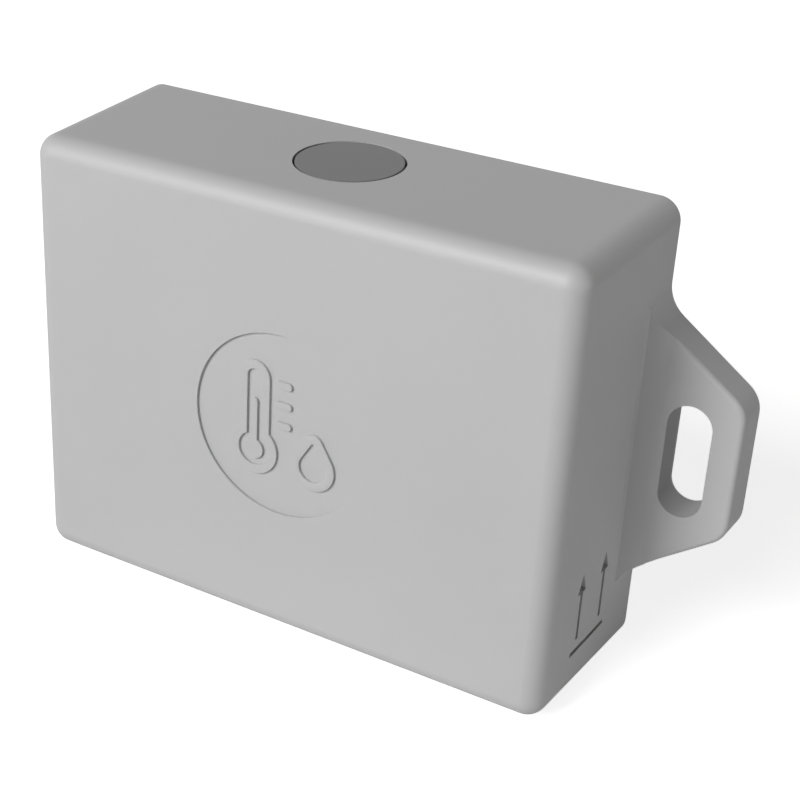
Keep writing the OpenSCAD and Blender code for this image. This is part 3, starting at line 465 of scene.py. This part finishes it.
class SENSOR_OT_housing(bpy.types.Operator):
    """Housing with softened edges, a raised pictogram and the engraved upright mark"""
    bl_idname = "sensor.housing"
    bl_label = "Housing"

    def execute(self, context):
        s, ear = context.scene.sensor_housing, context.scene.sensor_ear
        low, high = (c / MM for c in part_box("housing"))
        middle_z = (low.z + high.z) / 2
        cap_low, cap_high = (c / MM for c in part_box("button_cap"))
        button_y = (cap_low.y + cap_high.y) / 2
        ear_front = high.y - ear.thickness / MM
        # further out than this are only the ears, and nearer than this to the button's axis is
        # only its bore, in millimetres
        ears_only, bore_only = 44, 7.75
        bm = copy_of("housing")
        rims = sharp_edges(bm, lambda p: p.y > high.y - NEAR)
        rims += sharp_edges(bm, lambda p: abs(p.x) > ears_only and abs(p.y - ear_front) < NEAR)
        rims += sharp_edges(bm, lambda p: math.hypot(p.x, p.y - button_y) < bore_only
                            and p.z > cap_high.z - RIM_HEIGHT)
        rims += sharp_edges(bm, lambda p: p.y < low.y + NEAR)
        soften(bm, rims, s.edge)
        # the bevel leaves a few needle-thin faces on the back rim
        bmesh.ops.dissolve_degenerate(bm, dist=0.004 * MM, edges=bm.edges)
        for side in (-1, 1):
            combine(bm, self.ear_slope(s, ear, side, ear_front, middle_z), "UNION")
        # the bore's wall alone lies between these radii
        bore_wall = (7.6, 7.9)
        narrow(bm, button_y, bore_wall, context.scene.sensor_trim.bore_draw / MM)
        combine(bm, self.pictogram(s, low.y, middle_z), "UNION")
        combine(bm, self.upright_mark(s, high.y), "DIFFERENCE")
        # ABS from a spark-eroded mould: satin, even, with hardly any grain to be seen
        plastic = moulded("Light grey ABS", s.colour, s.roughness, s.grain / MM)
        piece = finish(bm, "housing_shell", plastic, "root")
        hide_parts("housing")
        return {"FINISHED"}

    def ear_slope(self, s, ear, side, front_y, middle_z):
        """Slope between an ear's front and the side wall, cut off at the ear's outline"""
        slope = self.slope_bar(s, ear)
        place = Matrix.Translation(Vector((0, front_y, middle_z)) * MM)
        bmesh.ops.transform(slope, verts=slope.verts,
                            matrix=place @ Matrix.Rotation(math.radians(-90), 4, "X"))
        outline = self.root_outline(s, ear)
        bmesh.ops.transform(outline, verts=outline.verts, matrix=place)
        combine(slope, outline, "INTERSECT")
        if side < 0:
            bmesh.ops.mirror(slope, geom=slope.verts[:] + slope.edges[:] + slope.faces[:],
                             axis="X", merge_dist=0)
            bmesh.ops.delete(slope, geom=[v for v in slope.verts if v.co.x > 0], context="VERTS")
            bmesh.ops.recalc_face_normals(slope, faces=slope.faces)
        return slope

    def slope_bar(self, s, ear):
        """The slope's section across the right wall, as a prism longer than the ear is high.
        It is drawn with depth upwards, and ear_slope turns it upright"""
        rise, blend = ear.rise / MM, ear.blend / MM
        wall_x = s.wall_x / MM - (ear.thickness / MM + rise) * math.tan(s.draft)
        foot = blend * (1 - math.cos(ear.slope))
        straight = (rise - foot) / math.tan(ear.slope)
        end = straight + blend * math.sin(ear.slope)
        # how far it reaches into the wall and the ear
        inside = 0.4
        bm = bmesh.new()
        hollow = arc(bm, (wall_x + straight, -foot), (wall_x + end, -blend),
                     math.degrees(ear.slope), steps=6)
        corners = [vertex(bm, wall_x + end, inside), vertex(bm, wall_x - inside, inside),
                   vertex(bm, wall_x - inside, -rise - inside * math.tan(ear.slope))]
        join(bm, [hollow[1], *corners, hollow[0]])
        prism(bm, depth=46)
        return bm

    def root_outline(self, s, ear):
        """The ear's outline near the wall, seen from the front, as a prism deeper than the slope"""
        root, fall = ear.root_radius / MM, ear.edge_angle
        # kept just inside the ear's own edges
        half = ear.root_height / MM / 2 - 0.03
        centre_z = half - root * math.tan(fall) + root / math.cos(fall)
        # the hollow starts short of the point where it would touch the wall
        start = math.radians(14)
        sweep = 90 - math.degrees(fall + start)
        # the wall leans, so this is where it stands at the ear's front
        x = s.wall_x / MM - ear.thickness / MM * math.tan(s.draft)
        outwards, inwards = 5, 2
        bm = bmesh.new()
        top, bottom = (
            arc(bm, (x + root * (1 - math.cos(start)), sign * (centre_z - root * math.sin(start))),
                (x + root, sign * centre_z), -sign * sweep, steps=24) for sign in (1, -1))
        far_z = half - outwards * math.tan(fall)
        far = [vertex(bm, x + outwards, sign * far_z) for sign in (1, -1)]
        near = [vertex(bm, x - inwards, v.co.z / MM) for v in (bottom[0], top[0])]
        join(bm, [top[1], *far, bottom[1]])
        join(bm, [bottom[0], *near, top[0]])
        prism(bm, depth=8)
        return bm

    def pictogram(self, s, front_y, middle_z):
        """Thermometer and water drop, raised from the field's floor to the front plane"""
        stroke, bulb, drop = s.stroke / MM, s.bulb / MM, s.drop / MM
        half_stem = 0.65 * bulb
        # it starts 0.1 mm under the field's floor
        depths = {"root_y": (front_y + 0.1) * MM + s.relief, "front_y": front_y * MM,
                  "softness": 0.08 * MM}
        bulb_at, drop_at = (-3.9, middle_z - 4.4), (5.2, middle_z - 4.6)
        stem_top, column_top = middle_z + 6.2, middle_z + 2.6
        tick_x, tick_top, tick_length, tick_pitch = 0.55, stem_top - 0.2, 2.5, 2.9
        bm = bmesh.new()
        glass = [thermometer_outline(bm, bulb_at, bulb, half_stem, stem_top),
                 thermometer_outline(bm, bulb_at, bulb - stroke, half_stem - stroke, stem_top)]
        raise_relief(bm, glass, **depths)
        column = thermometer_outline(bm, bulb_at, 0.4 * bulb, 0.14 * bulb, column_top)
        raise_relief(bm, [column], **depths)
        for i in range(3):
            tick = bar_outline(bm, (tick_x, tick_top - tick_pitch * i), tick_length, 0.8 * stroke)
            raise_relief(bm, [tick], **depths)
        water = [drop_outline(bm, drop_at, drop, tip_radius=1.5),
                 drop_outline(bm, drop_at, drop - stroke, tip_radius=0.3)]
        raise_relief(bm, water, **depths)
        bmesh.ops.recalc_face_normals(bm, faces=bm.faces)
        return bm

    def upright_mark(self, s, back_y):
        """Two arrows over a bar, as a cutter in the right wall; the wall leans with the draft"""
        half, end = s.mark_line / 2, s.mark_width / 2
        foot, tip = s.mark_z + 0.15 * s.mark_height, s.mark_z + s.mark_height
        head_length, head_half = 2.88 * MM, 1.12 * MM
        neck = tip - head_length
        shapes = [[(-end, s.mark_z - half), (end, s.mark_z - half),
                   (end, s.mark_z + half), (-end, s.mark_z + half)]]
        for u in (-s.arrow_pitch / 2, s.arrow_pitch / 2):
            shapes.append([(u - half, foot), (u + half, foot), (u + half, neck),
                           (u + head_half, neck), (u, tip), (u - head_half, neck),
                           (u - half, neck)])
        bm = bmesh.new()
        for shape in shapes:
            face = bm.faces.new([bm.verts.new((-s.mark_depth, u, z)) for u, z in shape])
            outer = bmesh.ops.extrude_face_region(bm, geom=[face], use_keep_orig=True)["geom"]
            # the cutter stands 1 mm out of the wall
            bmesh.ops.translate(bm, verts=new_verts(outer), vec=(s.mark_depth + 1 * MM, 0, 0))
        bmesh.ops.translate(bm, verts=bm.verts, vec=(0, -s.mark_in, 0))
        wall = Matrix.Translation((s.wall_x, back_y * MM, 0)) @ Matrix.Rotation(-s.draft, 4, "Z")
        bmesh.ops.transform(bm, matrix=wall, verts=bm.verts)
        bmesh.ops.recalc_face_normals(bm, faces=bm.faces)
        return bm


class SENSOR_OT_button(bpy.types.Operator):
    """Flush push button with a softened rim"""
    bl_idname = "sensor.button"
    bl_label = "Button"

    def execute(self, context):
        s = context.scene.sensor_trim
        low, high = (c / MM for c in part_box("button_cap"))
        bm = copy_of("button_cap")
        soften(bm, sharp_edges(bm, lambda p: p.z > high.z - RIM_HEIGHT), s.edge)
        # the button's side alone lies between these radii
        side_wall = (7.2, 7.55)
        narrow(bm, (low.y + high.y) / 2, side_wall, s.button_draw / MM)
        # dyed ABS, a little duller and finer than the housing's
        plastic = moulded("Dark grey ABS", s.button_colour, roughness=0.55, grain=0.25,
                          strength=0.25)
        piece = finish(bm, "button_top", plastic, "button")
        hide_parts("button_cap")
        return {"FINISHED"}


class SENSOR_OT_rear_cover(bpy.types.Operator):
    """Rear cover with softened rims, and the two seals"""
    bl_idname = "sensor.rear_cover"
    bl_label = "Rear cover"

    def execute(self, context):
        s = context.scene.sensor_trim
        _, high = (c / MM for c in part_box("rear_cover"))
        bm = copy_of("rear_cover")
        # 40 degrees, so that the countersinks' rims are softened too
        soften(bm, sharp_edges(bm, lambda p: p.y > high.y - NEAR, least=40), s.edge)
        # ABS from a coarser mould face than the housing's: duller, with more grain
        plastic = moulded("Grey ABS", s.cover_colour, roughness=0.55, grain=0.35, strength=0.35)
        piece = finish(bm, "back_cover", plastic, "root")
        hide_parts("rear_cover")
        paint(moulded_silicone("Dark silicone sponge", linear("#3A3C3E")), "cover_gasket")
        paint(moulded_silicone("Grey silicone", linear("#4A4C4E")), "button_seal")
        return {"FINISHED"}


class SENSOR_OT_fasteners(bpy.types.Operator):
    """Screws and the retainer that they hold"""
    bl_idname = "sensor.fasteners"
    bl_label = "Fasteners"

    def execute(self, context):
        s = context.scene.sensor_trim
        # turning leaves fine rings round a screw, so the marks are squeezed along its axis
        along_y = marked_metal("Turned stainless steel", s.steel_colour, roughness=0.3,
                               squeeze=(1, 12, 1))
        paint(along_y, "cover_screws", "board_screws")
        upright = marked_metal("Turned stainless steel upright", s.steel_colour, roughness=0.3,
                               squeeze=(1, 1, 12))
        paint(upright, "retainer_screws")
        # the same ABS as outside, dyed darker
        paint(moulded("Mid grey ABS", linear("#8C8F92")), "seal_retainer")
        return {"FINISHED"}


class SENSOR_OT_boards(bpy.types.Operator):
    """Circuit boards and the parts on them"""
    bl_idname = "sensor.boards"
    bl_label = "Boards"

    def execute(self, context):
        s = context.scene.sensor_inside
        green_copper, blue_copper = linear("#3F7A4C"), linear("#33619B")
        # solder mask is a glossy lacquer
        paint(solder_masked_laminate("Green solder mask", s.board_colour, green_copper, faces="Y"),
              "circuit_board")
        paint(solder_masked_laminate("Green solder mask flat", s.board_colour, green_copper,
                                     faces="Z"), "switch_board")
        paint(solder_masked_laminate("Blue solder mask", s.module_colour, blue_copper, faces="Y"),
              "radio_module")
        # tin is grey and a little cloudy, and drawn aluminium brighter and smoother
        paint(marked_metal("Tinned steel", linear("#C4C6C8"), roughness=0.32, squeeze=(1, 1, 6)),
              "radio_shield", "timing_crystals")
        paint(marked_metal("Drawn aluminium", linear("#D4D6D8"), roughness=0.25,
                           squeeze=(1, 6, 1)), "storage_capacitors")
        # filled epoxy is moulded under pressure: near black, dull and even
        paint(moulded("Black epoxy", linear("#26282A"), roughness=0.45, grain=0.12, strength=0.4),
              "radio_chip", "microcontroller", "memory_chip", "voltage_regulator",
              "climate_sensor")
        # fired ceramic is matte, and the resistors' glass film over it shines
        paint(moulded("Fired ceramic", linear("#E7E2D6"), roughness=0.6, grain=0.1),
              "chip_antenna")
        paint(moulded("Brown ceramic", linear("#A98B63"), grain=0.1), "chip_capacitors")
        paint(moulded("Resistor film", linear("#2B2B2E"), roughness=0.35, grain=0.1),
              "chip_resistors")
        # nylon takes the satin of its mould
        paint(moulded("Black nylon", linear("#2A2B2D"), grain=0.2),
              "board_header", "programming_header", "tactile_switch")
        paint(moulded("Ivory nylon", linear("#D8D4C8"), roughness=0.45, grain=0.2, strength=0.2),
              "switch_plunger")
        return {"FINISHED"}


class SENSOR_OT_cells(bpy.types.Operator):
    """Battery holder, cells, contacts and the vent membrane"""
    bl_idname = "sensor.cells"
    bl_label = "Cells"

    def execute(self, context):
        s = context.scene.sensor_inside
        # moulded polypropylene is satin and near black
        paint(moulded("Black polypropylene", s.holder_colour), "battery_holder")
        # nickel plate is bright and slightly warm, with faint rings round the can
        paint(marked_metal("Nickel-plated steel", linear("#C8C9C6"), roughness=0.22,
                           squeeze=(6, 1, 1)), "battery_cells")
        # shrunk film is glossy and wavers a little over the can
        paint(moulded("Shrink sleeve", s.sleeve_colour, roughness=0.3, grain=0.6, strength=0.15),
              "cell_sleeves")
        # rolled brass under a thin bright plate, still yellow
        paint(marked_metal("Plated brass", linear("#C9B46A"), roughness=0.25, squeeze=(1, 6, 1)),
              "positive_contacts", "negative_contacts")
        # stretched film is a matte white
        paint(moulded_silicone("Stretched membrane film", linear("#F2F2EE")), "vent_membrane")
        return {"FINISHED"}


class SENSOR_OT_stage(bpy.types.Operator):
    """Camera, lamps, floor and background"""
    bl_idname = "sensor.stage"
    bl_label = "Stage"

    def execute(self, context):
        s = context.scene.sensor_stage
        context.scene.view_settings.view_transform = "Standard"
        self.camera(s)
        self.floor()
        self.world(s)
        self.lamp("Key", s.key, place=(-0.53, -1.42, 0.94), width=1.0)
        self.lamp("Fill", s.fill, place=(1.48, 0.1, 0.15), width=0.4)
        return {"FINISHED"}

    def camera(self, s):
        """Camera at the photograph's angle and distance"""
        data = bpy.data.cameras.new("Camera")
        data.lens = s.lens
        data.sensor_width = 36
        data.shift_x = 0.0289
        data.shift_y = -0.0334
        data.clip_start = 0.01
        back = Vector((math.sin(s.azimuth) * math.cos(s.elevation),
                       -math.cos(s.azimuth) * math.cos(s.elevation),
                       math.sin(s.elevation)))
        camera = bpy.data.objects.new("Camera", data)
        camera.rotation_mode = "QUATERNION"
        camera.rotation_quaternion = Quaternion(back, s.roll) @ back.to_track_quat("Z", "Y")
        camera.location = Vector((100.4, -172.2, 132.2)) * MM
        bpy.context.scene.collection.objects.link(camera)
        bpy.context.scene.camera = camera

    def floor(self):
        """Pale floor that keeps the shadow"""
        bm = bmesh.new()
        bmesh.ops.create_grid(bm, x_segments=1, y_segments=1, size=3.0)
        mesh = bpy.data.meshes.new("floor")
        bm.to_mesh(mesh)
        bm.free()
        floor = bpy.data.objects.new("floor", mesh)
        bpy.context.scene.collection.objects.link(floor)
        # uncoated paper is matte and even; the glow, which only the camera sees, lifts it to
        # white outside the shadow
        material, tree, shader, _ = surface("Pale paper", Roughness=0.9,
                                            Base_Color=linear("#F2F2F2"))
        seen = node(tree, "ShaderNodeLightPath")["Is Camera Ray"]
        glow = node(tree, "ShaderNodeEmission", None,
                    {"Color": linear("#FFFFFF"), "Strength": 0.78})["Emission"]
        both = node(tree, "ShaderNodeAddShader", None, {0: shader.outputs[0], 1: glow})[0]
        node(tree, "ShaderNodeMixShader", None, {0: seen, 1: shader.outputs[0], 2: both},
             feeds=tree.nodes["Material Output"].inputs["Surface"])
        mesh.materials.append(material)

    def world(self, s):
        """White background and a weak light from all round"""
        world = bpy.data.worlds.new("Studio")
        bpy.context.scene.world = world
        world.use_nodes = True
        tree = world.node_tree
        background = tree.nodes["Background"]
        # white to the camera and in reflections, dim as a light
        path = node(tree, "ShaderNodeLightPath")
        direct = node(tree, "ShaderNodeMath", {"operation": "MAXIMUM"},
                      {0: path["Is Camera Ray"], 1: path["Is Glossy Ray"]})
        shown = node(tree, "ShaderNodeMath", {"operation": "MAXIMUM"},
                     {0: direct["Value"], 1: path["Is Transmission Ray"]})
        node(tree, "ShaderNodeMix", None,
             {FACTOR: shown["Value"], NUMBER_A: s.ambient, NUMBER_B: 1.0},
             feeds=background.inputs["Strength"])
        background.inputs["Color"].default_value = linear("#FFFFFF")

    def lamp(self, name, watts, place, width):
        """Round soft lamp that points at the middle of the object"""
        data = bpy.data.lights.new(name, "AREA")
        data.shape = "DISK"
        data.size = width
        data.energy = watts
        lamp = bpy.data.objects.new(name, data)
        lamp.location = place
        lamp.rotation_mode = "QUATERNION"
        aim = Vector((0, 0, 0.03))
        lamp.rotation_quaternion = (Vector(place) - aim).to_track_quat("Z", "Y")
        bpy.context.scene.collection.objects.link(lamp)


STEPS = (SENSOR_OT_housing, SENSOR_OT_button, SENSOR_OT_rear_cover, SENSOR_OT_fasteners,
         SENSOR_OT_boards, SENSOR_OT_cells, SENSOR_OT_stage)
SETTINGS = {"sensor_housing": HousingSettings, "sensor_ear": EarSettings,
            "sensor_trim": TrimSettings, "sensor_inside": InsideSettings,
            "sensor_stage": StageSettings}


class SENSOR_PT_steps(bpy.types.Panel):
    """Steps that dress the sensor, in order"""
    bl_label = "Sensor"
    bl_space_type = "VIEW_3D"
    bl_region_type = "UI"
    bl_category = "Sensor"

    def draw(self, context):
        for step in STEPS:
            self.layout.operator(step.bl_idname)
        for name, group in SETTINGS.items():
            box = self.layout.box()
            box.label(text=group.__doc__)
            for key in group.__annotations__:
                box.prop(getattr(context.scene, name), key)


def register():
    for group in SETTINGS.values():
        bpy.utils.register_class(group)
    for name, group in SETTINGS.items():
        setattr(bpy.types.Scene, name, PointerProperty(type=group))
    for step in STEPS:
        bpy.utils.register_class(step)
    bpy.utils.register_class(SENSOR_PT_steps)


def unregister():
    bpy.utils.unregister_class(SENSOR_PT_steps)
    for step in reversed(STEPS):
        bpy.utils.unregister_class(step)
    for name, group in SETTINGS.items():
        delattr(bpy.types.Scene, name)
        bpy.utils.unregister_class(group)


def main():
    register()
    for step in STEPS:
        family, name = step.bl_idname.split(".")
        getattr(getattr(bpy.ops, family), name)()


if __name__ == "__main__":
    main()
